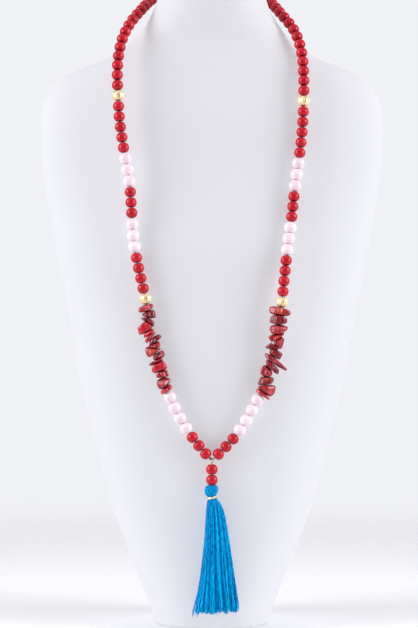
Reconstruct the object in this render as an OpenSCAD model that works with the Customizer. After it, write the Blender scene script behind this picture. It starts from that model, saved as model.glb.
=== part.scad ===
// Long strung necklace of red stone, rose quartz, gold and coral with a tassel drop, on a
// plain neck bust that stands on its foot.
// Millimetres. X runs to the viewer's right, Z is up and the front faces -Y.
// The origin is the middle of the bust's foot, on the surface that it stands on.

/* [Neck bust] */
// Width of the bust at its shoulders
bust_w = 254; // [246:1:254]
// Depth of the bust where it is deepest
bust_d = 121; // [115:1:121]
// Height of the string's highest point, on the nape, above the foot
nape_h = 475; // [472:1:480]
// Distance of that point behind the bust's middle
nape_back = 45; // [42:0.5:45]

/* [String] */
// Diameter of the stringing thread
thread_d = 0.8; // [0.5:0.05:1]
// Gap between two neighbours on the thread
bead_gap = 0.25; // [0.2:0.05:0.5]
// Clearance all round the thread in a drilled hole
hole_clear = 0.2; // [0.15:0.05:0.3]
// Radius of the flattened, domed ends of the round beads
end_dome_r = 9; // [6:0.5:14]
// Number of red beads over the shoulders and the nape, above the upper gold beads
nape_beads = 43; // [31:2:51]

/* [Round beads] */
// Diameter of a red bead
red_d = 8.3; // [6:0.1:10]
// Length of a red bead along its hole, as a share of its diameter
red_flat = 0.88; // [0.84:0.005:0.97]
// Diameter of a rose quartz bead
rose_d = 8.8; // [6:0.1:10]
// Length of a rose quartz bead along its hole, as a share of its diameter
rose_flat = 0.92; // [0.88:0.005:0.98]
// Diameter of a gold bead
gold_d = 9; // [6:0.1:10]
// Length of a gold bead along its hole, as a share of its diameter
gold_flat = 0.86; // [0.82:0.005:0.97]
// Diameter of the small bead beside the eye
seed_d = 2; // [1.8:0.05:2.1]
// Length of the small bead beside the eye
seed_len = 1.3; // [0.9:0.05:1.4]

/* [Coral chips] */
// Length of the run of chips on the left
coral_run_left = 65; // [56:0.5:80]
// Length of the run of chips on the right
coral_run_right = 64.5; // [56:0.5:80]
// Reach from the thread of which the chips' own reaches are shares
coral_reach = 10; // [8:0.25:12]
// Tilt of a run's lowest face from square to the bead below it, its outer end lower
coral_seat = 8; // [0:1:9]
// Thickness at which a chip ends between its neighbours
coral_edge = 1.2; // [0.8:0.1:1.6]
// Least width of coral round its drilled hole
coral_rim = 0.9; // [0.6:0.1:1.2]

/* [Drop] */
// Diameter of the gold wire of the eye
wire_d = 0.6; // [0.4:0.05:0.7]
// Inside diameter of the eye round the thread
eye_d = 2.2; // [2:0.1:2.8]
// Clearance between the eye and the thread it hangs on
eye_clear = 0.1; // [0.08:0.01:0.2]
// Distance of the eye to the right of the drop's axis
eye_side = 0.45; // [0.3:0.05:0.5]
// How far the thread dips below the lowest beads to the eye
dip = 1.15; // [1.1:0.05:1.6]
// Diameter of the collar of wound wire below the eye
collar_d = 1.8; // [1.6:0.1:2.4]
// Height of the collar of wound wire
collar_h = 1.25; // [1:0.05:2]
// Diameter of the straight shank through the beads
shank_d = 0.8; // [0.5:0.05:1]
// How far the shank reaches into the head of the tassel
shank_in = 3.5; // [2:0.5:5]
// Number of red beads on the shank
drop_beads = 2; // [1:1:3]

/* [Tassel] */
// Whole length of the tassel from the top of its head to the hem
tassel_len = 91; // [60:1:120]
// Diameter of the head
head_d = 9.6; // [8.5:0.1:12]
// Height of the head above the middle of the band
head_h = 8.6; // [7:0.1:11]
// Diameter of the tied neck
neck_d = 5.6; // [5:0.1:7]
// Width of the skirt at the hem
hem_w = 30; // [20:1:40]
// Depth of the skirt from front to back as a share of its width
skirt_depth = 0.74; // [0.5:0.02:1]
// Number of locks round the skirt
locks = 18; // [12:1:22]
// Depth of the grooves between the locks as a share of the skirt's radius
lock_groove = 0.13; // [0.05:0.01:0.2]
// How unevenly the locks end at the hem
hem_rag = 2.5; // [0:0.25:6]
// How far the middle of the hem is hollowed, as a share of the skirt's length
hem_hollow = 0.1; // [0.04:0.01:0.2]

/* [Tassel band] */
// Height of the band of wound gold cord
band_h = 2; // [1.5:0.1:3]
// Thickness of the band
band_wall = 0.75; // [0.6:0.05:1.2]
// Turns of cord in the band
band_turns = 3; // [2:1:4]
// Gap between the band and the neck of the tassel
band_clear = 0.15; // [0.1:0.05:0.3]
// Tilt of the band, its right end higher
band_tilt = 10; // [0:1:18]

/* [Hidden] */
$fn = 48;
// Kinds of pieces on the thread
RED = 0;
ROSE = 1;
GOLD = 2;
CHIP = 3;
// Pieces of each side from the bottom up, as [kind, number of them]
SIDE = [
    [RED, 3], [ROSE, 4], [CHIP, 1], [GOLD, 1], [RED, 4], [ROSE, 3], [RED, 3], [ROSE, 3], [RED, 5], [GOLD, 1]
];

// Chosen points of the string from its lower left end over the nape to its lower right end
ROUTE = [
    [-2, -110, -350.5], [-15.3, -109.7, -334.2], [-26.2, -109.3, -316.1], [-34, -108.1, -296.6],
    [-40.5, -105.8, -276.6], [-45.2, -103.3, -256.2], [-48.1, -101.4, -235.4], [-52.7, -100.3, -214.9],
    [-56.4, -99.4, -194.1], [-57.8, -98.4, -173.1], [-59.5, -97.4, -152.1], [-63.1, -96.4, -131.3],
    [-66.3, -95.4, -110.5], [-67.8, -93.9, -89.5], [-68.3, -90.4, -68.7], [-65.8, -81.8, -49.7],
    [-59.6, -69.1, -34.2], [-51.4, -53.9, -22], [-45.3, -35.9, -12.9], [-35.7, -18.6, -5.8],
    [-20.1, -5.4, -1.2], [0, 0, 0], [19.8, -4.9, -2.6], [34.9, -17.9, -7.6],
    [44.2, -34.9, -14.9], [51.5, -51.2, -25.6], [60.7, -63.7, -39.3], [65.6, -74.4, -56.4],
    [66.8, -81.9, -75.7], [66.5, -85.4, -96.1], [65.3, -87, -116.8], [62.8, -88.6, -137.4],
    [59.9, -91.5, -157.7], [57.5, -95.3, -178], [54.7, -99.1, -198.2], [52.3, -102.9, -218.5],
    [50.2, -105.7, -239], [47.8, -107.1, -259.6], [43.6, -107.9, -279.9], [36.9, -108.6, -299.6],
    [27.8, -109.3, -318.2], [16.5, -109.7, -335.6], [2, -110, -350.5]
];

// Columns of the chips' tables: share of the run, tilt of the face above the chip with its
// right end up, lean of that face with its front up, reach to the left, to the right and in
// depth, greatest thickness, how much thinner the right end is (the left end where below
// zero), and whether the chip follows its lower face (-1), its upper face (1) or neither (0).
// Reaches are shares of coral_reach, the thickness is a share of the chip's length on the
// thread. The topmost face's tilt and lean are measured from square to the gold bead.
SHARE = 0;
TILT = 1;
LEAN = 2;
LEFT = 3;
RIGHT = 4;
DEPTH = 5;
THICK = 6;
SLIM = 7;
FOLLOW = 8;

// Coral chips of the left run from the bottom up
LEFT_CHIPS = [
    [4.1, 37, -10, 0.48, 0.42, 0.42, 1.05, 0.2, 0],
    [6.9, 12, -4, 0.54, 0.40, 0.48, 1.25, 0, 0],
    [4.5, 20, 8, 0.43, 0.47, 0.38, 0.95, -0.4, 0],
    [6.6, 25, 14, 0.51, 0.60, 0.46, 0.95, 0, 0],
    [2.7, 20, 10, 0.56, 0.43, 0.36, 1.00, -0.2, 0],
    [4.4, 35, 0, 0.22, 0.62, 0.44, 1.35, 0, 0],
    [5.4, -8, -12, 0.60, 0.46, 0.46, 1.40, 0.2, 0.5],
    [3.5, 24, -16, 0.28, 0.50, 0.42, 1.40, 0.2, 0],
    [3.0, 50, -6, 0.19, 0.72, 0.44, 2.30, 0.6, -0.8],
    [3.2, 35, 4, 0.44, 0.42, 0.38, 1.00, 0.3, 0],
    [2.7, 33, 8, 0.46, 0.28, 0.40, 1.00, 0.1, 0],
    [5.0, -32, 14, 0.84, 0.20, 0.46, 1.25, 0, -0.9],
    [4.7, -10, 4, 0.46, 0.44, 0.42, 1.20, 0.1, -0.8],
    [5.0, 18, -8, 0.38, 0.62, 0.44, 1.35, -0.3, 0],
    [4.9, 8, 0, 0.63, 0.50, 0.40, 0.92, 0.1, 0]
];

// Coral chips of the right run from the bottom up
RIGHT_CHIPS = [
    [2.6, -40, 8, 0.36, 0.80, 0.40, 1.00, 0.1, 0],
    [5.2, 3, 2, 0.36, 0.86, 0.46, 1.80, -0.1, -0.5],
    [6.6, -8, -8, 0.40, 0.54, 0.46, 1.00, 0, 0],
    [6.6, -45, -14, 0.62, 0.30, 0.44, 1.05, 0.3, -0.3],
    [4.4, -40, -4, 0.40, 0.60, 0.42, 1.25, 0.1, 0],
    [4.6, -32, 8, 0.58, 1.10, 0.36, 0.90, 0.5, 0],
    [4.7, -15, 14, 0.34, 0.55, 0.46, 1.40, 0, -0.4],
    [3.2, -40, 6, 0.74, 0.22, 0.38, 1.60, 0, -0.9],
    [5.6, 30, -6, 0.18, 0.40, 0.36, 1.35, 0, -0.3],
    [4.1, 5, -14, 0.66, 0.46, 0.42, 1.40, -0.1, -0.4],
    [7.0, -3, -4, 0.62, 0.56, 0.48, 0.98, 0.2, 0],
    [6.3, -8, 8, 0.66, 0.44, 0.44, 0.88, 0.1, 0],
    [6.3, -7, 0, 0.80, 0.66, 0.46, 1.05, 0.1, 0]
];

// Level sections of the bust from its foot up: height as a share of nape_h, half width as a
// share of bust_w, half depth as a share of bust_d, and squareness, where 2 is an ellipse
BUST_ROWS = [
    [0, 0.1654, 0.4231, 2.6], [0.0463, 0.1953, 0.4397, 2.6], [0.1263, 0.2539, 0.4678, 2.6],
    [0.1916, 0.2972, 0.4909, 2.6], [0.2947, 0.3484, 0.4959, 2.6], [0.3747, 0.3858, 0.4868, 2.6],
    [0.4168, 0.3996, 0.4727, 2.6], [0.4611, 0.4154, 0.4545, 2.6], [0.5011, 0.4291, 0.4397, 2.6],
    [0.5832, 0.4587, 0.4281, 2.6], [0.6253, 0.4724, 0.3967, 2.6], [0.6674, 0.4862, 0.3645, 2.6],
    [0.7158, 0.498, 0.3397, 2.6], [0.7832, 0.5, 0.3223, 2.6], [0.8189, 0.4843, 0.3008, 2.6],
    [0.8442, 0.4488, 0.2843, 2.6], [0.8611, 0.3937, 0.2777, 2.5], [0.8779, 0.315, 0.2727, 2.4],
    [0.8989, 0.252, 0.2727, 2.2], [0.9242, 0.2047, 0.2909, 2.1], [0.9495, 0.1736, 0.3124, 2],
    [0.9705, 0.1591, 0.3223, 2], [0.9874, 0.1547, 0.324, 2], [1.057, 0.1547, 0.3174, 2],
    [1.063, 0.1457, 0.2975, 2]
];
BUST_SIDES = 56;

// Sections of the tassel's head above the band: height as a share of head_h, radius as a
// share of half head_d, share of the band's tilt, share of the grooves' depth
HEAD_ROWS = [
    [1.00, 0.42, 0, 0], [0.965, 0.74, 0, 0.4], [0.86, 0.93, 0.1, 0.4], [0.66, 1.00, 0.3, 0.4],
    [0.45, 0.96, 0.6, 0.4], [0.28, 0.84, 0.9, 0.4]
];

// Sections of the skirt below the band: drop as a share of the skirt's length, reach to the
// left and to the right as shares of hem_w, share of the band's tilt, share of the grooves' depth
SKIRT_ROWS = [
    [0.03, 0.115, 0.155, 0.8, 0.4], [0.07, 0.13, 0.235, 0.5, 0.8], [0.13, 0.14, 0.30, 0.2, 1],
    [0.22, 0.155, 0.355, 0, 1], [0.33, 0.17, 0.405, 0, 1], [0.45, 0.20, 0.46, 0, 1],
    [0.58, 0.235, 0.51, 0, 1], [0.70, 0.27, 0.55, 0, 1], [0.82, 0.32, 0.59, 0, 1],
    [0.92, 0.375, 0.62, 0, 1], [1.00, 0.41, 0.60, 0, 1]
];

red_len = red_d * red_flat;
rose_len = rose_d * rose_flat;
gold_len = gold_d * gold_flat;
hole_d = thread_d + 2 * hole_clear;

function sum(v, i = 0) = i < len(v) ? v[i] + sum(v, i + 1) : 0;
function unit(v) = v / norm(v);
function lerp(a, b, t) = a + (b - a) * t;
function reversed(v) = [for (i = [len(v) - 1 : -1 : 0]) v[i]];
function repeated(item, n) = [for (i = [1 : n]) item];
// Steady pseudo-random number between -1 and 1 for a whole number
function uneven(i) = sin(i * 137.5 + 40 * sin(i * 78));

// Pieces on the thread in order, as [kind, pitch, row of the chip's table]
PITCH = [red_len + bead_gap, rose_len + bead_gap, gold_len + bead_gap];
function chips(rows, run) =
    let (all = sum([for (r = rows) r[SHARE]])) [for (r = rows) [CHIP, run * r[SHARE] / all, r]];
function beads(kind, n) = repeated([kind, PITCH[kind], undef], n);
function side(rows, run) = [for (s = SIDE) each s[0] == CHIP ? chips(rows, run) : beads(s[0], s[1])];
PIECES = concat(
    side(LEFT_CHIPS, coral_run_left), beads(RED, nape_beads), reversed(side(RIGHT_CHIPS, coral_run_right)));

// Smooth curve through the chosen points, as short chords
CURVE_STEPS = 10;
function curve_point(a, b, c, d, t) =
    0.5 * (2 * b + (c - a) * t + (2 * a - 5 * b + 4 * c - d) * t * t + (3 * b - a - 3 * c + d) * t * t * t);
function curve(p) = let (n = len(p) - 1) [
    for (i = [0 : n - 1], k = [0 : CURVE_STEPS - 1])
        curve_point(p[max(i - 1, 0)], p[i], p[i + 1], p[min(i + 2, n)], k / CURVE_STEPS),
    p[n]
];
function running(v) = [for (i = 0, s = 0; i <= len(v); s = s + (i < len(v) ? v[i] : 0), i = i + 1) s];

CURVE = curve(ROUTE);
CURVE_AT = running([for (i = [1 : len(CURVE) - 1]) norm(CURVE[i] - CURVE[i - 1])]);
JOINTS_AT = running([for (p = PIECES) p[1]]);
string_len = JOINTS_AT[len(PIECES)];
// The chosen loop grows or shrinks until the pieces just fill it, and the bust with it
grow = string_len / CURVE_AT[len(CURVE) - 1];

function point_at(s) =
    let (i = min(len([for (c = CURVE_AT) if (c <= s) c]), len(CURVE) - 1) - 1)
    lerp(CURVE[i], CURVE[i + 1], (s - CURVE_AT[i]) / (CURVE_AT[i + 1] - CURVE_AT[i]));
// Points of the thread where two neighbours meet, from the lower left end
NAPE = [0, nape_back, nape_h];
JOINTS = [for (s = JOINTS_AT) grow * (NAPE + point_at(s / grow))];

// The eye hangs below the middle of the gap between the two lowest beads
LOWEST = (JOINTS[0] + JOINTS[len(PIECES)]) / 2;
PIVOT = LOWEST - [0, 0, dip];
eye_room = wire_d / 2 + eye_clear;
THREAD_POINTS = concat(
    JOINTS, [PIVOT + [eye_side + eye_room, 0, 0], PIVOT + [eye_side - eye_room - eye_clear, 0, 0]]);

function pieces_of(kind) = [for (i = [0 : len(PIECES) - 1]) if (PIECES[i][0] == kind) i];
GOLD_AT = pieces_of(GOLD);
CHIPS_AT = pieces_of(CHIP);

// Axes of a piece whose hole runs along w, with the first across the view
function axes(w) = let (u = unit([1, 0, 0] - w[0] * w)) [u, cross(w, u), w];
function chord(i) = unit(JOINTS[i + 1] - JOINTS[i]);

// Moves a child from its own frame, hole along Z, to a point with axes f
module placed(f, p) {
    multmatrix([
        [f[0][0], f[1][0], f[2][0], p[0]],
        [f[0][1], f[1][1], f[2][1], p[1]],
        [f[0][2], f[1][2], f[2][2], p[2]],
        [0, 0, 0, 1]
    ]) children();
}

// Solid through rings of equally many points, with one point closing each end
module ringed_solid(rings, first, last) {
    n = len(rings[0]);
    m = len(rings);
    at = function(i, j) 1 + i * n + j % n;
    polyhedron(
        points = concat([first], [for (r = rings) each r], [last]),
        faces = concat(
            [for (j = [0 : n - 1]) [0, at(0, j + 1), at(0, j)]],
            [for (i = [0 : m - 2], j = [0 : n - 1]) [at(i, j), at(i, j + 1), at(i + 1, j + 1)]],
            [for (i = [0 : m - 2], j = [0 : n - 1]) [at(i, j), at(i + 1, j + 1), at(i + 1, j)]],
            [for (j = [0 : n - 1]) [m * n + 1, at(m - 1, j), at(m - 1, j + 1)]]
        )
    );
}

// Round bead with domed, flattened ends and a drilled hole along Z
module round_bead(d, length, hole = hole_d) {
    end_up = length / 2 - end_dome_r;
    difference() {
        intersection() {
            sphere(d = d);
            translate([0, 0, end_up]) sphere(r = end_dome_r);
            translate([0, 0, -end_up]) sphere(r = end_dome_r);
        }
        cylinder(d = hole, h = 2 * d, center = true);
    }
}

module strung_bead(i, d, length) {
    placed(axes(chord(i)), (JOINTS[i] + JOINTS[i + 1]) / 2) round_bead(d, length);
}

module thread() {
    sides = 6;
    n = len(THREAD_POINTS);
    // A direction that the loop never runs along
    out = unit([0, -0.9, 0.45]);
    rings = [for (i = [0 : n - 1]) let (
        before = unit(THREAD_POINTS[i] - THREAD_POINTS[(i + n - 1) % n]),
        after = unit(THREAD_POINTS[(i + 1) % n] - THREAD_POINTS[i]),
        t = unit(before + after),
        u = unit(cross(t, out)),
        v = cross(t, u)
    ) [for (k = [0 : sides - 1])
        THREAD_POINTS[i] + thread_d / 2 * (cos(360 * k / sides) * u - sin(360 * k / sides) * v)]];
    at = function(i, k) (i % n) * sides + k % sides;
    color("indianred") polyhedron(
        points = [for (r = rings) each r],
        faces = [for (i = [0 : n - 1], k = [0 : sides - 1]) each [
            [at(i, k), at(i, k + 1), at(i + 1, k + 1)],
            [at(i, k), at(i + 1, k + 1), at(i + 1, k)]
        ]]
    );
}

module red_beads() {
    color("crimson") for (i = pieces_of(RED)) strung_bead(i, red_d, red_len);
}

module rose_beads() {
    color("mistyrose") for (i = pieces_of(ROSE)) strung_bead(i, rose_d, rose_len);
}

module gold_bead(k) {
    color("gold") strung_bead(GOLD_AT[k - 1], gold_d, gold_len);
}

// 1 on the left, where the pieces follow one another upwards, and -1 on the right
function rise(i) = i < len(PIECES) / 2 ? 1 : -1;
// Normal of a face turned from square to the axes f by a tilt and a lean
function turned(f, tilt, lean) = unit(f[2] - tan(tilt) * f[0] + tan(lean) * f[1]);
// Normal of the face between pieces i - 1 and i, where at least one of them is a chip
UPRIGHT = [[1, 0, 0], [0, 1, 0], [0, 0, 1]];
function face_normal(i) = let (
    beside = [for (j = [i - 1, i]) if (PIECES[j][0] != CHIP) j],
    square = len(beside) > 0 ? axes(rise(i) * chord(beside[0])) : UPRIGHT,
    row = PIECES[rise(i) > 0 ? i - 1 : i][2]
) len(beside) > 0 && PIECES[beside[0]][0] == ROSE ? turned(square, rise(i) * coral_seat, 0)
    : turned(square, row[TILT], row[LEAN]);

// How the chips' rims and sides are worked: points round the rim, squareness of its outline,
// unevenness of the rim and of the sides, neighbours whose faces can bound a chip, and the
// distance out and height of each ring of points from the upper face to the lower one
CHIP_SIDES = 14;
CHIP_SQUARE = 2.3;
RIM_UNEVEN = 0.09;
RIM_LOBES = 0.05;
SIDE_UNEVEN = 0.07;
CHIPS_NEAR = 5;
FIT_STEPS = 16;
CHIP_SECTION = [[0.55, 1], [0.86, 0.84], [1, 0.35], [1, -0.35], [0.86, -0.84], [0.55, -1]];

// One coral chip: a rounded pebble with its own reaches, held between the tilted faces
// that part it from its neighbours, and drilled along the thread
module coral_chip(k) {
    i = CHIPS_AT[k - 1];
    row = PIECES[i][2];
    f = axes(chord(i));
    start = JOINTS[i];
    near = [for (j = [i - CHIPS_NEAR : i + 1 + CHIPS_NEAR])
        if (j > 0 && j < len(PIECES) && (PIECES[j][0] == CHIP || PIECES[j - 1][0] == CHIP)) j];
    normals = [for (j = near) face_normal(j)];
    height = function(q, x, y)
        normals[q] * (JOINTS[near[q]] - start - x * f[0] - y * f[1]) / (normals[q] * f[2]);
    ahead = [for (q = [0 : len(near) - 1]) if (near[q] > i) q];
    behind = [for (q = [0 : len(near) - 1]) if (near[q] <= i) q];
    top = function(x, y) min([for (q = ahead) height(q, x, y)]) - bead_gap / 2;
    bottom = function(x, y) max([for (q = behind) height(q, x, y)]) + bead_gap / 2;

    least = hole_d / 2 + coral_rim;
    outline = [for (a = [0 : CHIP_SIDES - 1]) let (
        turn = 360 * a / CHIP_SIDES,
        across = abs(cos(turn)) / row[cos(turn) > 0 ? RIGHT : LEFT],
        deep = abs(sin(turn)) / row[DEPTH],
        plain = coral_reach / pow(pow(across, CHIP_SQUARE) + pow(deep, CHIP_SQUARE), 1 / CHIP_SQUARE),
        wanted = plain * (1 + RIM_UNEVEN * uneven(7 * k + a) + RIM_LOBES * sin(3 * turn + 50 * k)),
        fits = [for (s = [0 : FIT_STEPS])
            let (r = lerp(least, max(least, wanted), s / FIT_STEPS), x = r * cos(turn), y = r * sin(turn))
            if (top(x, y) - bottom(x, y) > coral_edge) r]
    ) max(concat(fits, [least]))];
    point = function(a, out, up) let (
        turn = 360 * a / CHIP_SIDES,
        x = outline[a] * out * cos(turn),
        y = outline[a] * out * sin(turn),
        room = top(x, y) - bottom(x, y),
        slim = 1 - max(0, row[SLIM] * out * cos(turn)),
        worn = abs(up) < 1 ? 1 - SIDE_UNEVEN * (1 - uneven(5 * k + 3 * a + round(4 * up))) : 1,
        half = min(room, PIECES[i][1] * row[THICK]) / 2 * slim,
        middle = (top(x, y) + bottom(x, y)) / 2 + rise(i) * row[FOLLOW] * (room / 2 - half)
    ) start + x * f[0] + y * f[1] + (middle + up * half * worn) * f[2];
    color([0.62, 0.08, 0.12]) difference() {
        ringed_solid(
            [for (s = CHIP_SECTION) [for (a = [0 : CHIP_SIDES - 1]) point(a, s[0], s[1])]],
            point(0, 0, 1), point(0, 0, -1)
        );
        placed(f, start) cylinder(d = hole_d, h = 3 * coral_reach, center = true);
    }
}

// Places of the drop's pieces below the pivot
eye_z = -(eye_d / 2 - thread_d / 2 - eye_clear);
collar_z = eye_z - eye_d / 2 - wire_d / 2;
beads_z = collar_z - collar_h - bead_gap;
tassel_z = beads_z - drop_beads * (red_len + bead_gap);
band_z = tassel_z - head_h;

module seed_bead() {
    from = JOINTS[0];
    to = THREAD_POINTS[len(THREAD_POINTS) - 1];
    color("darkred") placed(axes(unit(to - from)), (from + to) / 2) difference() {
        intersection() {
            sphere(d = seed_d);
            cube([seed_d, seed_d, seed_len], center = true);
        }
        cylinder(d = thread_d + hole_clear, h = 2 * seed_d, center = true);
    }
}

module drop_pin() {
    color("goldenrod") translate(PIVOT) {
        translate([eye_side, 0, eye_z]) rotate([0, 90, 0])
            rotate_extrude() translate([(eye_d + wire_d) / 2, 0]) circle(d = wire_d);
        translate([0, 0, collar_z - collar_h]) cylinder(d = collar_d, h = collar_h);
        translate([0, 0, tassel_z - shank_in])
            cylinder(d = shank_d, h = collar_z - collar_h / 2 - tassel_z + shank_in);
    }
}

module drop_bead(k) {
    color("crimson") translate(PIVOT + [0, 0, beads_z - (k - 1) * (red_len + bead_gap) - red_len / 2])
        round_bead(red_d, red_len, shank_d + 2 * hole_clear);
}

// One turn round the tassel: centre, tilt, reaches to the left, to the right and in depth,
// share of the grooves' depth, and share of the hem's unevenness
LOCK_POINTS = 6;
function tassel_ring(centre, tilt, left, right, deep, groove, rag) =
    [for (j = [0 : locks * LOCK_POINTS - 1]) let (
        turn = 360 * j / (locks * LOCK_POINTS),
        valley = 1 - abs(sin(180 * j / LOCK_POINTS)),
        cut = 1 - lock_groove * groove * valley,
        x = cos(turn) * (cos(turn) > 0 ? right : left) * cut,
        y = sin(turn) * deep * cut,
        end = rag * hem_rag * (1 + uneven(floor(j / LOCK_POINTS)) + valley) / 2
    ) centre + [x * cos(tilt), y, x * sin(tilt) + end]];

module tassel() {
    skirt_len = tassel_len - head_h;
    hole_r = shank_d / 2 + hole_clear;
    hole_z = tassel_z - shank_in - hole_clear;
    neck_half = band_h / 2 + band_clear;
    hem = SKIRT_ROWS[len(SKIRT_ROWS) - 1];
    round_ring = function(centre, tilt, r, groove) tassel_ring(centre, tilt, r, r, r, groove, 0);
    above_band = function(h, tilt) [-h * sin(tilt), 0, band_z + h * cos(tilt)];
    color("deepskyblue") translate(PIVOT) ringed_solid(
        concat(
            [for (z = [hole_z, tassel_z]) round_ring([0, 0, z], 0, hole_r, 0)],
            [for (r = HEAD_ROWS) let (tilt = band_tilt * r[2])
                round_ring(above_band(head_h * r[0], tilt), tilt, head_d / 2 * r[1], r[3])],
            [for (h = [neck_half, -neck_half])
                round_ring(above_band(h, band_tilt), band_tilt, neck_d / 2, 0)],
            [for (r = SKIRT_ROWS) tassel_ring(
                [0, 0, band_z - skirt_len * r[0]], band_tilt * r[3], hem_w * r[1], hem_w * r[2],
                hem_w * skirt_depth * (r[1] + r[2]) / 2, r[4], r[0] * r[0])]
        ),
        [0, 0, hole_z], [hem_w * (hem[2] - hem[1]) / 2, 0, band_z - skirt_len * (1 - hem_hollow)]
    );
}

module tassel_band() {
    inner = neck_d / 2 + band_clear;
    turn_h = band_h / band_turns;
    valley = 0.6;
    steps = 6;
    outside = [for (t = [0 : band_turns - 1], s = [0 : steps])
        [inner + band_wall * lerp(valley, 1, sin(180 * s / steps)), turn_h * (t + s / steps) - band_h / 2]];
    color("gold") translate(PIVOT + [0, 0, band_z]) rotate([0, -band_tilt, 0])
        rotate_extrude() polygon(concat([[inner, band_h / 2], [inner, -band_h / 2]], outside));
}

// Point of a squared ellipse of half width a and half depth b, at an angle
function oval_point(a, b, squareness, angle) = [
    a * sign(cos(angle)) * pow(abs(cos(angle)), 2 / squareness),
    b * sign(sin(angle)) * pow(abs(sin(angle)), 2 / squareness)
];

module neck_bust() {
    top = BUST_ROWS[len(BUST_ROWS) - 1];
    color("white") scale(grow) ringed_solid(
        [for (r = reversed(BUST_ROWS)) [for (j = [0 : BUST_SIDES - 1])
            let (p = oval_point(bust_w * r[1], bust_d * r[2], r[3], 360 * j / BUST_SIDES))
            [p[0], p[1], nape_h * r[0]]]],
        [0, 0, nape_h * top[0]], [0, 0, 0]
    );
}

neck_bust();
thread();
red_beads();
rose_beads();
for (k = [1 : len(GOLD_AT)]) gold_bead(k);
for (k = [1 : len(CHIPS_AT)]) coral_chip(k);
seed_bead();
drop_pin();
for (k = [1 : drop_beads]) drop_bead(k);
tassel();
tassel_band();
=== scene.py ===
# Looks of a long strung necklace of red stone, rose quartz, gold and coral with a blue tassel,
# on a plain white neck bust. Sizes are in millimetres until a mesh is made. X runs to the
# viewer's right, Z is up, and the origin is the middle of the bust's foot.
import bpy
import numpy as np
from numpy import cos, pi, sin
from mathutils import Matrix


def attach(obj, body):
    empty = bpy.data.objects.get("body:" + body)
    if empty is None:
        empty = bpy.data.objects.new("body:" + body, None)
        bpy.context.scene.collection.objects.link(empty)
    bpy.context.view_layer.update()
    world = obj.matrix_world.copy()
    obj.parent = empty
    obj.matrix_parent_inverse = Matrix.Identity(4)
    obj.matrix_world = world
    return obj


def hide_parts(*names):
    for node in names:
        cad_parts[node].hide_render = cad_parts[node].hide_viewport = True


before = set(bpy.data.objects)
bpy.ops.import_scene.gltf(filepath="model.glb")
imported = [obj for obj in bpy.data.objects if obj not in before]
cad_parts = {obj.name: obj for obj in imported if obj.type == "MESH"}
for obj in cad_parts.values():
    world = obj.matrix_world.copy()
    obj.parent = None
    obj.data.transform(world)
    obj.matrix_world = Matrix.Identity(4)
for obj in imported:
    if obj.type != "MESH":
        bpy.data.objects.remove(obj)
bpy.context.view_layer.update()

# The string: one loop of thread over the neck that holds every piece by its drilled hole.
# It lies along chosen points, and the loop is grown until the threaded pieces just fill it.
RED, ROSE, GOLD, CHIP = range(4)
BEAD_GAP = 0.25
RED_D, ROSE_D, GOLD_D = 8.3, 8.8, 9.0
RED_LEN, ROSE_LEN, GOLD_LEN = 0.88 * RED_D, 0.92 * ROSE_D, 0.86 * GOLD_D
HOLE_R = 0.6
NAPE_BEADS = 43
# Kind and number of the pieces of each side from the drop up, where CHIP stands for a whole run
SIDE = [(RED, 3), (ROSE, 4), (CHIP, 1), (GOLD, 1), (RED, 4),
        (ROSE, 3), (RED, 3), (ROSE, 3), (RED, 5), (GOLD, 1)]
# The thread's route from the drop up the left side, round the nape and down the right side
ROUTE_STEPS = 10
ROUTE = np.array([
    (-2, -110, -350.5), (-15.3, -109.7, -334.2), (-26.2, -109.3, -316.1), (-34, -108.1, -296.6),
    (-40.5, -105.8, -276.6), (-45.2, -103.3, -256.2), (-48.1, -101.4, -235.4),
    (-52.7, -100.3, -214.9), (-56.4, -99.4, -194.1), (-57.8, -98.4, -173.1), (-59.5, -97.4, -152.1),
    (-63.1, -96.4, -131.3), (-66.3, -95.4, -110.5), (-67.8, -93.9, -89.5), (-68.3, -90.4, -68.7),
    (-65.8, -81.8, -49.7), (-59.6, -69.1, -34.2), (-51.4, -53.9, -22), (-45.3, -35.9, -12.9),
    (-35.7, -18.6, -5.8), (-20.1, -5.4, -1.2), (0, 0, 0), (19.8, -4.9, -2.6), (34.9, -17.9, -7.6),
    (44.2, -34.9, -14.9), (51.5, -51.2, -25.6), (60.7, -63.7, -39.3), (65.6, -74.4, -56.4),
    (66.8, -81.9, -75.7), (66.5, -85.4, -96.1), (65.3, -87, -116.8), (62.8, -88.6, -137.4),
    (59.9, -91.5, -157.7), (57.5, -95.3, -178), (54.7, -99.1, -198.2), (52.3, -102.9, -218.5),
    (50.2, -105.7, -239), (47.8, -107.1, -259.6), (43.6, -107.9, -279.9), (36.9, -108.6, -299.6),
    (27.8, -109.3, -318.2), (16.5, -109.7, -335.6), (2, -110, -350.5)])
# The string's highest point, on the nape, from which the chosen points are measured
NAPE = np.array((0, 45, 475))

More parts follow.
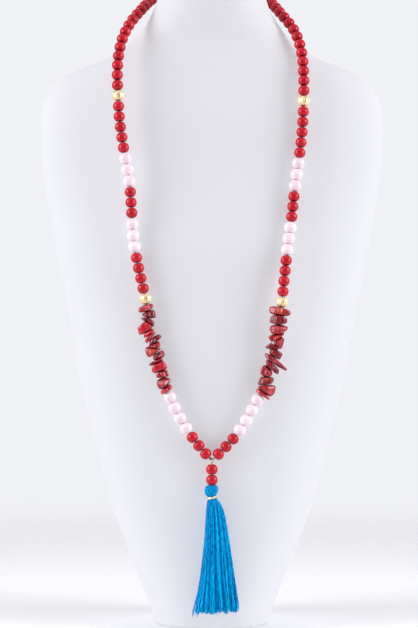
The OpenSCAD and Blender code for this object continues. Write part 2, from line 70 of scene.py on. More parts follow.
# Coral chips from the bottom of each run up: share of the run, tilt and lean of the face above
# the chip in degrees, reach to the left, right and in depth, thickness, how much thinner the
# right end is, and which of its faces the chip follows. Reaches are shares of CORAL_REACH.
CORAL_REACH = 10.0
LEFT_RUN, RIGHT_RUN = 65.0, 64.5
LEFT_CHIPS = np.array([
    (4.1, 37, -10, 0.48, 0.42, 0.42, 1.05, 0.2, 0), (6.9, 12, -4, 0.54, 0.4, 0.48, 1.25, 0, 0),
    (4.5, 20, 8, 0.43, 0.47, 0.38, 0.95, -0.4, 0), (6.6, 25, 14, 0.51, 0.6, 0.46, 0.95, 0, 0),
    (2.7, 20, 10, 0.56, 0.43, 0.36, 1, -0.2, 0), (4.4, 35, 0, 0.22, 0.62, 0.44, 1.35, 0, 0),
    (5.4, -8, -12, 0.6, 0.46, 0.46, 1.4, 0.2, 0.5), (3.5, 24, -16, 0.28, 0.5, 0.42, 1.4, 0.2, 0),
    (3, 50, -6, 0.19, 0.72, 0.44, 2.3, 0.6, -0.8), (3.2, 35, 4, 0.44, 0.42, 0.38, 1, 0.3, 0),
    (2.7, 33, 8, 0.46, 0.28, 0.4, 1, 0.1, 0), (5, -32, 14, 0.84, 0.2, 0.46, 1.25, 0, -0.9),
    (4.7, -10, 4, 0.46, 0.44, 0.42, 1.2, 0.1, -0.8), (5, 18, -8, 0.38, 0.62, 0.44, 1.35, -0.3, 0),
    (4.9, 8, 0, 0.63, 0.5, 0.4, 0.92, 0.1, 0)])
RIGHT_CHIPS = np.array([
    (2.6, -40, 8, 0.36, 0.8, 0.4, 1, 0.1, 0), (5.2, 3, 2, 0.36, 0.86, 0.46, 1.8, -0.1, -0.5),
    (6.6, -8, -8, 0.4, 0.54, 0.46, 1, 0, 0), (6.6, -45, -14, 0.62, 0.3, 0.44, 1.05, 0.3, -0.3),
    (4.4, -40, -4, 0.4, 0.6, 0.42, 1.25, 0.1, 0), (4.6, -32, 8, 0.58, 1.1, 0.36, 0.9, 0.5, 0),
    (4.7, -15, 14, 0.34, 0.55, 0.46, 1.4, 0, -0.4), (3.2, -40, 6, 0.74, 0.22, 0.38, 1.6, 0, -0.9),
    (5.6, 30, -6, 0.18, 0.4, 0.36, 1.35, 0, -0.3), (4.1, 5, -14, 0.66, 0.46, 0.42, 1.4, -0.1, -0.4),
    (7, -3, -4, 0.62, 0.56, 0.48, 0.98, 0.2, 0), (6.3, -8, 8, 0.66, 0.44, 0.44, 0.88, 0.1, 0),
    (6.3, -7, 0, 0.8, 0.66, 0.46, 1.05, 0.1, 0)])


def unit(vectors):
    """Each vector over its own length."""
    return vectors / np.linalg.norm(vectors, axis=-1, keepdims=True)


def spans(a, b, c, d, steps):
    """Points from each b towards c on the cubic whose slope at b is half of c - a, and at c half
    of d - b."""
    t = np.arange(steps)[:, None, None] / steps
    bend, twist = 2 * a - 5 * b + 4 * c - d, 3 * b - a - 3 * c + d
    found = 0.5 * (2 * b + (c - a) * t + bend * t**2 + twist * t**3)
    return found.transpose(1, 0, 2).reshape(-1, b.shape[-1])


def through(points, steps):
    """Smooth open curve through the points, of spans with the end points taken twice."""
    before, after = np.vstack([points[:1], points[:-2]]), np.vstack([points[2:], points[-1:]])
    return np.vstack([spans(before, points[:-1], points[1:], after, steps), points[-1:]])


def side_pieces(rows, run):
    """Kind, pitch and chip's row of each piece of one side, from the bottom up."""
    pitch = {RED: RED_LEN + BEAD_GAP, ROSE: ROSE_LEN + BEAD_GAP, GOLD: GOLD_LEN + BEAD_GAP}
    found = []
    for kind, count in SIDE:
        if kind == CHIP:
            found += [(CHIP, run * row[0] / rows[:, 0].sum(), row) for row in rows]
        else:
            found += [(kind, pitch[kind], None)] * count
    return found


PIECES = side_pieces(LEFT_CHIPS, LEFT_RUN) + [(RED, RED_LEN + BEAD_GAP, None)] * NAPE_BEADS
PIECES += side_pieces(RIGHT_CHIPS, RIGHT_RUN)[::-1]
KINDS = np.array([kind for kind, pitch, row in PIECES])
PITCHES = np.array([pitch for kind, pitch, row in PIECES])

curve = through(ROUTE, ROUTE_STEPS)
curve_at = np.append(0, np.cumsum(np.linalg.norm(np.diff(curve, axis=0), axis=1)))
joints_at = np.append(0, np.cumsum(PITCHES))
grow = joints_at[-1] / curve_at[-1]
JOINTS = np.stack([np.interp(joints_at / grow, curve_at, curve[:, k]) for k in range(3)], axis=1)
JOINTS = grow * (NAPE + JOINTS)
CHORDS = unit(np.diff(JOINTS, axis=0))
MIDDLES = (JOINTS[1:] + JOINTS[:-1]) / 2

# The eye of the drop's pin hangs in a small dip of the thread, a little to the right
DIP, WIRE_D, EYE_SIDE, EYE_CLEAR = 1.15, 0.6, 0.45, 0.1
PIVOT = (JOINTS[0] + JOINTS[-1]) / 2 - np.array((0, 0, DIP))
eye_room = WIRE_D / 2 + EYE_CLEAR
THREAD_POINTS = np.vstack([
    JOINTS, PIVOT + np.array((EYE_SIDE + eye_room, 0, 0)),
    PIVOT + np.array((EYE_SIDE - eye_room - EYE_CLEAR, 0, 0))])


def turns(count):
    """Even turns round a circle, from 0."""
    return np.arange(count) * 2 * pi / count


def axes(w):
    """Axes of pieces drilled along w: u lies across the view, square to w, and v is w cross u."""
    u = unit(np.array((1.0, 0, 0)) - w[..., :1] * w)
    return np.stack([u, np.cross(w, u), w], axis=-2)


def tubes(paths, out, radius, sides):
    """Tubes along paths (tube, point, xyz): round each point, radius times the turned pair of axes
    square to the path. The first axis is the path's direction cross out. radius is a number or an
    array (tube, point, side)."""
    along = unit(np.gradient(paths, axis=1))
    u = unit(np.cross(along, out))
    v = np.cross(along, u)
    turn = turns(sides)
    ring = cos(turn)[:, None] * u[..., None, :] + sin(turn)[:, None] * v[..., None, :]
    return paths[..., None, :] + np.asarray(radius)[..., None] * ring


def surface(name, grids, rows_close=False, fields=None):
    """Object of a mesh that joins neighbouring points of each grid (grid, row, column, xyz in mm).
    Columns close round. Rows close too, or else a flat face closes each end. Faces are turned round
    together if the volume from each grid's middle comes out below zero. fields are attributes, one
    value a point."""
    count, rows, columns = grids.shape[:3]
    at = np.arange(count * rows * columns).reshape(count, rows, columns)
    wrapped = np.concatenate([at, at[:, :, :1]], axis=2)
    if rows_close:
        wrapped = np.concatenate([wrapped, wrapped[:, :1]], axis=1)
    quads = np.stack([wrapped[:, :-1, :-1], wrapped[:, :-1, 1:],
                      wrapped[:, 1:, 1:], wrapped[:, 1:, :-1]], axis=-1).reshape(-1, 4)
    points = grids.reshape(-1, 3) / 1000
    centred = (grids - grids.mean(axis=(1, 2), keepdims=True)).reshape(-1, 3)
    a, b, c, d = (centred[quads[:, k]] for k in range(4))
    volume = (np.cross(b - a, c - a) * a).sum() + (np.cross(c - a, d - a) * a).sum()
    ends = at[:0, 0] if rows_close else np.concatenate([at[:, 0, ::-1], at[:, -1]])
    if volume < 0:
        quads, ends = quads[:, ::-1], ends[:, ::-1]
    mesh = bpy.data.meshes.new(name)
    mesh.vertices.add(len(points))
    mesh.vertices.foreach_set("co", points.ravel())
    sizes = np.append(np.full(len(quads), 4), np.full(len(ends), columns))
    mesh.loops.add(int(sizes.sum()))
    mesh.loops.foreach_set("vertex_index", np.append(quads.ravel(), ends.ravel()))
    mesh.polygons.add(len(sizes))
    mesh.polygons.foreach_set("loop_start", np.append(0, np.cumsum(sizes)[:-1]))
    mesh.update(calc_edges=True)
    mesh.shade_smooth()
    for field, values in (fields or {}).items():
        kind, key = ("FLOAT_VECTOR", "vector") if np.ndim(values) == 4 else ("FLOAT", "value")
        shape = grids.shape if kind == "FLOAT_VECTOR" else grids.shape[:3]
        mesh.attributes.new(field, kind, "POINT").data.foreach_set(
            key, np.broadcast_to(values, shape).astype(np.float32).ravel())
    made = bpy.data.objects.new(name, mesh)
    bpy.context.scene.collection.objects.link(made)
    return made


class Wire:
    """Output of a shader node. A sum on it adds its Math nodes, and node() adds any other node."""

    def __init__(self, tree, socket=None):
        self.tree, self.socket = tree, socket

    def node(self, kind, settings=None, sockets=None, out=0):
        """Adds a node of a kind, sets its settings first, then its sockets' values or links."""
        made = self.tree.nodes.new("ShaderNode" + kind)
        for key, value in (settings or {}).items():
            setattr(made, key, value)
        for key, value in (sockets or {}).items():
            if isinstance(value, Wire):
                self.tree.links.new(value.socket, made.inputs[key])
            else:
                made.inputs[key].default_value = value
        return Wire(self.tree, made.outputs[out] if made.outputs else None)

    def maths(self, operation, *values):
        """Math node of the operation on these values, in order."""
        return self.node("Math", {"operation": operation}, dict(enumerate(values)))

    def __add__(self, other):
        return self.maths("ADD", self, other)

    def __sub__(self, other):
        return self.maths("SUBTRACT", self, other)

    def __rsub__(self, other):
        return self.maths("SUBTRACT", other, self)

    def __mul__(self, other):
        return self.maths("MULTIPLY", self, other)

    __radd__, __rmul__ = __add__, __mul__

    def between(self, low, high):
        """0 up to low, 1 from high on, and smooth between."""
        ranges = {"From Min": low, "From Max": high, "Value": self}
        return self.node("MapRange", {"interpolation_type": "SMOOTHSTEP"}, ranges)

    def mix(self, first, second):
        """Colour that goes from first to second as this value goes from 0 to 1."""
        return self.node("Mix", {"data_type": "RGBA"}, {0: self, 6: first, 7: second}, out=2)

    def noise(self, scale, detail, roughness=0.5):
        """Cloudy value with lumps of about 1 / scale, where this wire is the place."""
        return self.node("TexNoise", {}, {
            "Vector": self, "Scale": scale, "Detail": detail, "Roughness": roughness})

    def stretched(self, x, y, z):
        """This place with its axes multiplied, so that a noise is drawn out along the least."""
        return self.node("Mapping", {}, {"Vector": self, "Scale": (x, y, z)})

    def bump(self, height):
        """Normal of a surface raised by this value times height in millimetres."""
        return self.node("Bump", {}, {"Height": self, "Distance": height / 1000})

    def place(self):
        """Place in the object's coordinates, in metres."""
        return self.node("TexCoord", out=3)

    def field(self, name, out=2):
        """Field of the mesh: one number a point, or a vector where out is 1."""
        return self.node("Attribute", {"attribute_name": name}, out=out)

    def skin(self, colour, roughness, normal, others):
        """Ends the material in one surface. others are its other sockets."""
        self.node("OutputMaterial", {}, {0: self.node("BsdfPrincipled", {}, {
            "Base Color": colour, "Roughness": roughness, "Normal": normal, **others})})


def rgb(red, green, blue):
    """Linear colour of a display colour given from 0 to 255."""
    shown = np.array((red, green, blue)) / 255
    return *np.where(shown <= 0.04045, shown / 12.92, ((shown + 0.055) / 1.055)**2.4).tolist(), 1.0


def material(name):
    """New material with an empty tree, and a wire to build in it."""
    made = bpy.data.materials.new(name)
    made.use_nodes = True
    made.node_tree.nodes.clear()
    return made, Wire(made.node_tree)


def dress(piece, made, body, slot, *nodes):
    """Gives a piece its material and its body, and hides the CAD nodes that it stands for. slot is
    not used.
    """
    piece.data.materials.append(made)
    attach(piece, body)
    if nodes:
        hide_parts(*nodes)


def squarer(waves, power):
    """Sines or cosines to a power, with their signs kept. Below 1 it squares a circle."""
    return np.sign(waves) * np.abs(waves)**power


# Neck bust: a light hollow moulding covered in matt white leatherette, with a round neck,
# sloping shoulders and a long chest that narrows to the foot it stands on.
BUST_W, BUST_D, BUST_SIDES, BUST_STEPS = 254, 121, 144, 5
# Rings that close a flat end, as shares of its outline
END_SHARES = (0.6, 0.002)
# Level sections from the foot up: height, half width and half depth as shares of the nape's
# height and of BUST_W and BUST_D, and squareness, where 2 is an ellipse
BUST_ROWS = np.array([
    (0, 0.1654, 0.4231, 2.6), (0.0463, 0.1953, 0.4397, 2.6), (0.1263, 0.2539, 0.4678, 2.6),
    (0.1916, 0.2972, 0.4909, 2.6), (0.2947, 0.3484, 0.4959, 2.6), (0.3747, 0.3858, 0.4868, 2.6),
    (0.4168, 0.3996, 0.4727, 2.6), (0.4611, 0.4154, 0.4545, 2.6), (0.5011, 0.4291, 0.4397, 2.6),
    (0.5832, 0.4587, 0.4281, 2.6), (0.6253, 0.4724, 0.3967, 2.6), (0.6674, 0.4862, 0.3645, 2.6),
    (0.7158, 0.498, 0.3397, 2.6), (0.7832, 0.5, 0.3223, 2.6), (0.8189, 0.4843, 0.3008, 2.6),
    (0.8442, 0.4488, 0.2843, 2.6), (0.8611, 0.3937, 0.2777, 2.5), (0.8779, 0.315, 0.2727, 2.4),
    (0.8989, 0.252, 0.2727, 2.2), (0.9242, 0.2047, 0.2909, 2.1), (0.9495, 0.1736, 0.3124, 2),
    (0.9705, 0.1591, 0.3223, 2), (0.9874, 0.1547, 0.324, 2), (1.057, 0.1547, 0.3174, 2),
    (1.063, 0.1457, 0.2975, 2)])
bust_rows = through(BUST_ROWS, BUST_STEPS)
ends = np.array([(1, share, share, 1) for share in END_SHARES])
bust_rows = np.vstack([bust_rows[0] * ends[::-1], bust_rows, bust_rows[-1] * ends])
up, half_w, half_d, square = (bust_rows[:, k:k + 1] for k in range(4))
turn = turns(BUST_SIDES)
bust_grid = grow * np.stack([
    BUST_W * half_w * squarer(cos(turn), 2 / square),
    BUST_D * half_d * squarer(sin(turn), 2 / square),
    NAPE[2] * up + 0 * turn], axis=-1)
bust = surface("neck_bust_covered", bust_grid[None])

leatherette, wire = material("white_leatherette")
place = wire.place()
pebble = place.noise(900, 4, 0.6)
cloud = place.noise(9, 3)
colour = (cloud * 0.6 + pebble * 0.4).mix(rgb(157, 157, 163), rgb(163, 163, 168))
# The emission is painted light: the bust glows an even white, so that its own shading stays faint.
wire.skin(colour, 0.62 + 0.1 * pebble, pebble.bump(0.03), {
    "Specular IOR Level": 0.2, "Emission Color": rgb(238, 238, 243), "Emission Strength": 0.46})
dress(bust, leatherette, "string", "bust_cover", "neck_bust")

# The thread: two plies of dusky pink nylon twisted together. It shows in the short gaps
# between the pieces, through the milky quartz, and where it dips through the drop's eye.
THREAD_R, THREAD_STEP, THREAD_PITCH, THREAD_SIDES = 0.4, 0.3, 1.8, 10
THREAD_OUT = np.array((0, -0.9, 0.45))
# How deep the groove between two plies is, as a share of the radius
THREAD_GROOVE = 0.26
ring = np.vstack([THREAD_POINTS, THREAD_POINTS[:1]])
ring_at = np.append(0, np.cumsum(np.linalg.norm(np.diff(ring, axis=0), axis=1)))
thread_at = np.linspace(0, ring_at[-1], int(ring_at[-1] / THREAD_STEP) + 1)
thread_path = np.stack([np.interp(thread_at, ring_at, ring[:, k]) for k in range(3)], axis=1)
turn = turns(THREAD_SIDES)
ply = np.abs(cos(turn - 2 * pi * thread_at[:, None] / THREAD_PITCH))
looped = np.vstack([thread_path[-2:-1], thread_path, thread_path[1:2]])
ply = np.vstack([ply[-2:-1], ply, ply[1:2]])
thread_r = THREAD_R * (1 - THREAD_GROOVE + THREAD_GROOVE * ply[None])
thread_grid = tubes(looped[None], THREAD_OUT, thread_r, THREAD_SIDES)[:, 1:-2]
thread = surface("thread_twisted", thread_grid, rows_close=True, fields={"ply": ply[None, 1:-2]})

nylon, wire = material("pink_nylon_thread")
ply_shade, fuzz = wire.field("ply"), wire.place().noise(9000, 3)
# The colour is darker in the grooves between the two plies and lighter on their crests: painted
# shade.
colour = (ply_shade * 0.8 + fuzz * 0.2).mix(rgb(112, 30, 48), rgb(204, 112, 134))
wire.skin(colour, 0.45 + 0.2 * fuzz, fuzz.bump(0.02), {})
dress(thread, nylon, "string", "thread", "thread")

# Red beads: dyed stone turned to rounds a little shorter than they are wide, drilled through
# and polished to a soft wax shine, with cloudy colour and faint darker veins in the stone.
END_DOME_R, RIM_EASE = 9.0, 0.12
# How far the edge between a bead's round and its end is worn, as a share of the bead's width
EDGE_WEAR = 0.03
# The beads are drawn a little longer than the solids, inside the gaps
RED_LONGER = 0.12


def bead_section(d, length, hole_r, rows):
    """Closed half section of a drilled round as (radius, height): a circle, cut at both ends by a
    dome with the edge between them worn round, then an eased rim and the hole's wall."""
    rim = hole_r + RIM_EASE
    first = np.arcsin(rim / (length / 2))
    a = np.linspace(first, pi - first, rows)
    back = length / 2 - END_DOME_R
    level = np.abs(cos(a))
    dome = back * level + np.sqrt(END_DOME_R**2 - back**2 * (1 - level**2))
    edge = EDGE_WEAR * d
    reach = -edge * np.logaddexp(-d / 2 / edge, -dome / edge)
    reach = reach + 0.5 * edge * np.exp(-((d / 2 - dome) / edge)**2)
    reach = np.minimum(reach, np.minimum(d / 2, dome))
    outer = np.stack([reach * sin(a), reach * cos(a)], axis=1)
    top = outer[0, 1] - RIM_EASE
    return np.vstack([outer, (hole_r, -top), (hole_r, -top / 3), (hole_r, top / 3), (hole_r, top)])


def round_grid(section, sides):
    """Surface of the section turned about Z, as (row, column, xyz)."""
    turn = turns(sides)
    radius, height = section[:, :1], section[:, 1:]
    return np.stack([radius * cos(turn), radius * sin(turn), height + 0 * turn], axis=-1)


def strung(own, which):
    """Copy of a surface at the middle of each chosen piece of the string, turned to its axes."""
    turned = np.einsum("rck,nkx->nrcx", own, axes(CHORDS[which]))
    return turned + MIDDLES[which][:, None, None]


def bead_string(name, kind, own, seed):
    """All beads of one kind on the string, as one mesh."""
    at = np.flatnonzero(KINDS == kind)
    return surface(name, strung(own, at), rows_close=True, fields=bead_fields(own, len(at), seed))


def own_places(own, count, seed):
    """Each copy's own coordinates in millimetres, shifted far apart so that no two look alike."""
    shifts = np.random.default_rng(seed).uniform(-400, 400, (count, 1, 1, 3))
    return own[None] + shifts


def tones(count, seed):
    """One even random number from 0 to 1 for each copy."""
    return np.random.default_rng(seed).uniform(0, 1, (count, 1, 1))


def bead_fields(own, count, seed):
    """Fields of that many copies of a bead. end goes from 0 at the middle of the bead's length to
    1 at the rims of its hole."""
    end = (np.abs(own[..., 2]) / own[..., 2].max())[None]
    return {"own": own_places(own, count, seed), "tone": tones(count, seed + 1), "end": end}


red_own = round_grid(bead_section(RED_D, RED_LEN + RED_LONGER, HOLE_R, rows=22), sides=36)
red_beads = bead_string("red_stone_beads", RED, red_own, 3)

red_stone, wire = material("red_stone_polished")
own, tone, end = wire.field("own", 1), wire.field("tone"), wire.field("end")
cloud = own.noise(0.35, 4, 0.6)
grain = own.noise(3.0, 4, 0.6)
vein = 1 - wire.maths("ABSOLUTE", own.noise(0.28, 5, 0.65) - 0.5).between(0.0, 0.02)
colour = (cloud * 0.5 + grain * 0.15 + tone * 0.3).mix(rgb(166, 0, 22), rgb(212, 8, 38))
colour = (vein * 0.22).mix(colour, rgb(106, 0, 16))
# Darker towards the rims of the hole, where each bead meets its neighbours: painted shade.
colour = (end.between(0.72, 1.0) * 0.7).mix(colour, rgb(96, 0, 12))
wire.skin(colour, 0.36 + 0.06 * grain, (grain * 0.4 + cloud).bump(0.004), {
    "Specular IOR Level": 0.36, "Coat Weight": 0.06, "Coat Roughness": 0.2})
dress(red_beads, red_stone, "string", "red_stone", "red_beads")

# Rose quartz beads: milky pale pink quartz, cut and drilled as the red ones are, nearly as pale as
# the ground, with soft cloudy veils. The darker pink rim round each hole is painted: shade where
# the beads meet, and the thread seen through the quartz.
rose_own = round_grid(bead_section(ROSE_D, ROSE_LEN, HOLE_R, rows=30), sides=48)
rose_beads = bead_string("rose_quartz_beads", ROSE, rose_own, 5)

quartz, wire = material("rose_quartz_milky")
own, tone, end = wire.field("own", 1), wire.field("tone"), wire.field("end")
veil = own.noise(0.22, 2, 0.45).between(0.3, 0.7)
fleck = own.noise(1.1, 3, 0.6).between(0.6, 0.8)
colour = (veil * 0.4 + tone * 0.6).mix(rgb(218, 196, 206), rgb(224, 208, 215))
colour = (fleck * 0.06).mix(colour, rgb(228, 216, 222))
# Darker pink towards the rims of the hole: painted shade where the beads meet, and the thread seen
# through the quartz.
colour = (end.between(0.82, 1.0) * 0.45).mix(colour, rgb(208, 142, 164))
# The emission is painted light: the quartz glows with its own colour, as if lit through.
wire.skin(colour, 0.34 + 0.05 * veil, veil.bump(0.002), {
    "Specular IOR Level": 0.4, "IOR": 1.54, "Emission Color": colour, "Emission Strength": 0.22})
dress(rose_beads, quartz, "string", "rose_quartz", "rose_beads")

# Gold beads: hollow brass balls with a pale gold plating, each pressed with slanting ridges
# that wind from one hole to the other and catch the light in small bright points.
GOLD_RIDGES, GOLD_TWIST, RIDGE_DEPTH, DENT_DEPTH = 9, 0.9, 0.3, 0.1
# The pressing starts at this radius round the hole and is full after the second length
PRESSED_FROM, PRESSED_FADE = 1.4, 2
gold_at = np.flatnonzero(KINDS == GOLD)
gold_own = round_grid(bead_section(GOLD_D, GOLD_LEN, HOLE_R, rows=44), sides=96)
around = np.arctan2(gold_own[..., 1], gold_own[..., 0])
level = gold_own[..., 2] / (GOLD_LEN / 2)
wide = np.hypot(gold_own[..., 0], gold_own[..., 1])
wide = np.clip((wide - PRESSED_FROM) / PRESSED_FADE, 0, 1)
ridge = np.abs(sin(GOLD_RIDGES / 2 * around + GOLD_TWIST * level))
cross_ridge = np.abs(sin(GOLD_RIDGES / 2 * around - GOLD_TWIST * level))
pressed = RIDGE_DEPTH * wide * (1 - np.maximum(ridge, cross_ridge)**2)
dents = sin(5 * around + 3 * level) * cos(7 * level + 2 * around)
hammered = DENT_DEPTH * wide * (1 + dents)
gold_own = gold_own * (1 - (pressed + hammered) / (GOLD_D / 2))[..., None]

plated, wire = material("pale_gold_plating")
own, hollow = wire.field("own", 1), wire.field("hollow")
fine = own.noise(2.2, 3, 0.6)
# The colour is darker the deeper the pressed hollow: painted shade.
colour = (hollow * 0.8).mix(rgb(250, 230, 186), rgb(222, 184, 126))
colour = (fine.between(0.45, 0.8) * 0.4).mix(colour, rgb(244, 220, 168))
wire.skin(colour, 0.4 + 0.12 * fine, fine.bump(0.02), {"Metallic": 0.7})
for k in range(1, len(gold_at) + 1):
    bead = surface(f"gold_bead_pressed_{k}", strung(gold_own, gold_at[k - 1:k]), rows_close=True,
                   fields={"own": own_places(gold_own, 1, 30 + k),
                           "hollow": (pressed / RIDGE_DEPTH)[None]})
    dress(bead, plated, "string", "gold_metal", f"gold_bead_{k}")

# Coral chips: broken coral twig tumbled until its corners are soft, each one held between the
# tilted faces that part it from its neighbours and drilled along the thread. No two are alike.
SHARE, TILT, LEAN, LEFT, RIGHT, DEPTH, THICK, SLIM, FOLLOW = range(9)
CORAL_SEAT, CORAL_EDGE, CORAL_RIM, CHIP_GAP, PLUMP, WIDEN = 8, 1.2, 0.9, 0.06, 1.3, 1.05
CHIP_SIDES, CHIP_FINE, CHIP_SQUARE, CHIPS_NEAR, FIT_STEPS = 14, 6, 2.3, 5, 16
CHIP_RINGS, CHIP_UNEVEN, CHIP_LOBES = 16, 0.09, 0.05
# How squarely a chip's face meets its rim: the same for all but the rounder ones named here
PLAIN_BLUNT = 4
CHIP_BLUNT = {2: 2.6, 4: 3.2, 7: 3, 8: 3, 12: 3.2, 13: 3, 14: 3, 15: 2.8, 16: 3.4, 18: 2.8,
              19: 3, 25: 2.6, 27: 3}
# Two chips reach farther right than their rows say, by these factors
CHIP_LONG = {19: 1.2, 20: 1.35}
CHIPS_AT = np.flatnonzero(KINDS == CHIP)


def uneven(i):
    """Steady random-like number from -1 to 1 for a whole number: a sine turned by another sine."""
    return sin(np.radians(i * 137.5 + 40 * sin(np.radians(i * 78))))


def rise(i):
    """1 on the left, where the pieces follow one another upwards, and -1 on the right."""
    return 1 if i < len(PIECES) / 2 else -1


def face_normal(i):
    """Normal of the face between pieces i - 1 and i: square to the bead beside it or upright, then
    turned by its tilt about the depth and its lean about the width."""
    beside = [j for j in (i - 1, i) if KINDS[j] != CHIP]
    square = axes(rise(i) * CHORDS[beside[0]]) if beside else np.eye(3)
    if beside and KINDS[beside[0]] == ROSE:
        tilt, lean = rise(i) * CORAL_SEAT, 0
    else:
        tilt, lean = PIECES[i - 1 if rise(i) > 0 else i][2][[TILT, LEAN]]
    tilted = square[2] - np.tan(np.radians(tilt)) * square[0]
    return unit(tilted + np.tan(np.radians(lean)) * square[1])


def chip_surface(k):
    """Chip k in its own axes. Its outline is an oval of its four reaches made uneven; its half
    thickness is its share of the room between the faces around it, rounded off towards the rim as
    (1 - out^b)^(1/b); then planes worn flat cut its corners and low waves roughen it."""
    i = CHIPS_AT[k - 1]
    row = PIECES[i][2]
    f = axes(CHORDS[i])
    near = [j for j in range(i - CHIPS_NEAR, i + 2 + CHIPS_NEAR)
            if 0 < j < len(PIECES) and CHIP in (KINDS[j], KINDS[j - 1])]

    def face_height(j, x, y):
        """Height of face j above the place x, y in the chip's axes."""
        n = face_normal(j)
        return (n @ (JOINTS[j] - JOINTS[i]) - x * (n @ f[0]) - y * (n @ f[1])) / (n @ f[2])

    def top(x, y):
        """Lowest face above, less half the gap."""
        return np.min([face_height(j, x, y) for j in near if j > i], axis=0) - CHIP_GAP / 2

    def bottom(x, y):
        """Highest face below, plus half the gap."""
        return np.max([face_height(j, x, y) for j in near if j <= i], axis=0) + CHIP_GAP / 2

    turn = turns(CHIP_SIDES)
    right = row[RIGHT] * CHIP_LONG.get(k, 1)
    across = np.abs(cos(turn)) / np.where(cos(turn) > 0, right, row[LEFT])
    deep = np.abs(sin(turn)) / row[DEPTH]
    plain = WIDEN * CORAL_REACH / (across**CHIP_SQUARE + deep**CHIP_SQUARE)**(1 / CHIP_SQUARE)
    lobes = CHIP_LOBES * sin(3 * turn + np.radians(50 * k))
    wanted = plain * (1 + CHIP_UNEVEN * uneven(7 * k + np.arange(CHIP_SIDES)) + lobes)
    least = HOLE_R + CORAL_RIM
    tried = np.arange(FIT_STEPS + 1)[:, None] / FIT_STEPS
    tried = least + (np.maximum(wanted, least) - least) * tried
    x, y = tried * cos(turn), tried * sin(turn)
    rim = np.where(top(x, y) - bottom(x, y) > CORAL_EDGE, tried, least).max(axis=0)[:, None]
    rim = spans(np.roll(rim, 1, 0), rim, np.roll(rim, -1, 0), np.roll(rim, -2, 0), CHIP_FINE)[:, 0]

    fine = turns(CHIP_SIDES * CHIP_FINE)
    outward = sin(np.linspace(0, pi / 2, CHIP_RINGS))
    share = np.concatenate([outward, outward[-2::-1]])[:, None]
    up = np.sign(np.arange(CHIP_RINGS - 1, -CHIP_RINGS, -1))[:, None]
    radius = HOLE_R + (rim - HOLE_R) * share
    out = radius / rim
    x, y = radius * cos(fine), radius * sin(fine)
    room = top(x, y) - bottom(x, y)
    slim = 1 - np.maximum(0, row[SLIM] * out * cos(fine))
    half = np.minimum(room, PLUMP * PIECES[i][1] * row[THICK]) / 2 * slim
    middle = (top(x, y) + bottom(x, y)) / 2 + rise(i) * row[FOLLOW] * (room / 2 - half)
    blunt = CHIP_BLUNT.get(k, PLAIN_BLUNT)
    level = up * (1 - np.minimum(out, 1)**blunt)**(1 / blunt)
    return i, f, np.stack([x, y, middle + half * level], axis=-1), out


# Flat places worn on a chip: random planes that face outwards within a slope, each at a share of
# its reach. What lies past a plane is drawn in by WORN_AWAY of the way. Low waves come on top.
WORN_PLACES, WORN_SLOPE, WORN_NEAREST, WORN_FARTHEST, WORN_AWAY = 5, 0.45, 0.87, 0.97, 0.7
WAVES, WAVE_TURNS, WAVE_DEPTH, WAVE_SHRINK = 5, 0.9, 0.05, 0.4
# The wear starts at this share of the way out from the hole and is full after the second share
WORN_FROM, WORN_FADE = 0.35, 0.3


def worn(own, out, seed):
    """Chip's points drawn in towards its middle, to the planes and by the waves."""
    draw = np.random.default_rng(seed)
    centre = np.array((own[..., 0].mean(), own[..., 1].mean(), own[..., 2].mean()))
    spread = own - centre
    away = np.clip((out - WORN_FROM) / WORN_FADE, 0, 1)
    for place in range(WORN_PLACES):
        turn, slope = draw.uniform(0, 2 * pi), draw.uniform(-WORN_SLOPE, WORN_SLOPE)
        n = unit(np.array((cos(turn), sin(turn), slope)))
        reach = spread @ n
        plane = draw.uniform(WORN_NEAREST, WORN_FARTHEST) * reach.max()
        keep = np.where(reach > 0, np.minimum(1, plane / np.maximum(reach, 1e-6)), 1)
        spread = spread * (1 - away * (1 - keep) * WORN_AWAY)[..., None]
    waves = sum(sin(spread @ draw.normal(0, WAVE_TURNS, 3) + draw.uniform(0, 6))
                for wave in range(WAVES)) / WAVES
    return centre + spread * (1 - WAVE_DEPTH * away * (WAVE_SHRINK + waves))[..., None]


# Colours of the chips in the order of their numbers, up the left side and down the right, and the
# places on their fronts that are hollow and painted black, orange, or pale pink: right and up from
# the chip's middle, and size. The black in the hollows is painted shade, and the pale pink places
# are painted highlights.
PIT_DEPTH = 0.14
CORAL_TONES = {
    "red": (168, 6, 28), "bright": (206, 12, 36), "maroon": (122, 4, 24), "wine": (144, 6, 36)}
LEFT_TONES = "bright wine red bright wine wine red red maroon red bright bright maroon maroon red"
RIGHT_TONES = "red maroon red bright wine maroon maroon wine maroon red maroon red bright"
CHIP_TONES = (LEFT_TONES + " " + RIGHT_TONES).split()
BLACK_PLACES = {14: (1.9, 0.1, 1.2), 13: (-0.7, 1.3, 1.1), 6: (-0.2, 1.6, 1.3),
                26: (2.7, -0.2, 0.9), 17: (-2.6, -0.3, 0.9)}
ORANGE_PLACES = {7: (-0.6, 0.4, 2.6), 16: (0.8, 0, 2.6), 26: (0.8, 1.7, 2.0), 19: (0.5, 0.8, 1.6)}
PAINTED_HIGHLIGHT_PLACES = {15: (0.2, 0.6, 2.6), 16: (-3.6, 0.4, 1.6), 18: (-1.8, 0.5, 1.8), 20: (0.3, 0.6, 1.6),
               23: (-0.5, 0.6, 1.6), 2: (-0.6, 0.4, 1.8), 10: (0.6, 0.6, 1.8), 27: (2.2, -1.5, 1.6)}


def place_near(points, places, k):
    """1 at the front place named for chip k, falling off as a bell over its size, and 0 behind it
    and on the other chips."""
    if k not in places:
        return np.zeros(points.shape[:-1])
    right, above, size = places[k]
    away = points - (points.reshape(-1, 3).min(0) + points.reshape(-1, 3).max(0)) / 2
    near = np.exp(-((away[..., 0] - right)**2 + (away[..., 2] - above)**2) / size**2)
    return near * (away[..., 1] < 0.5)


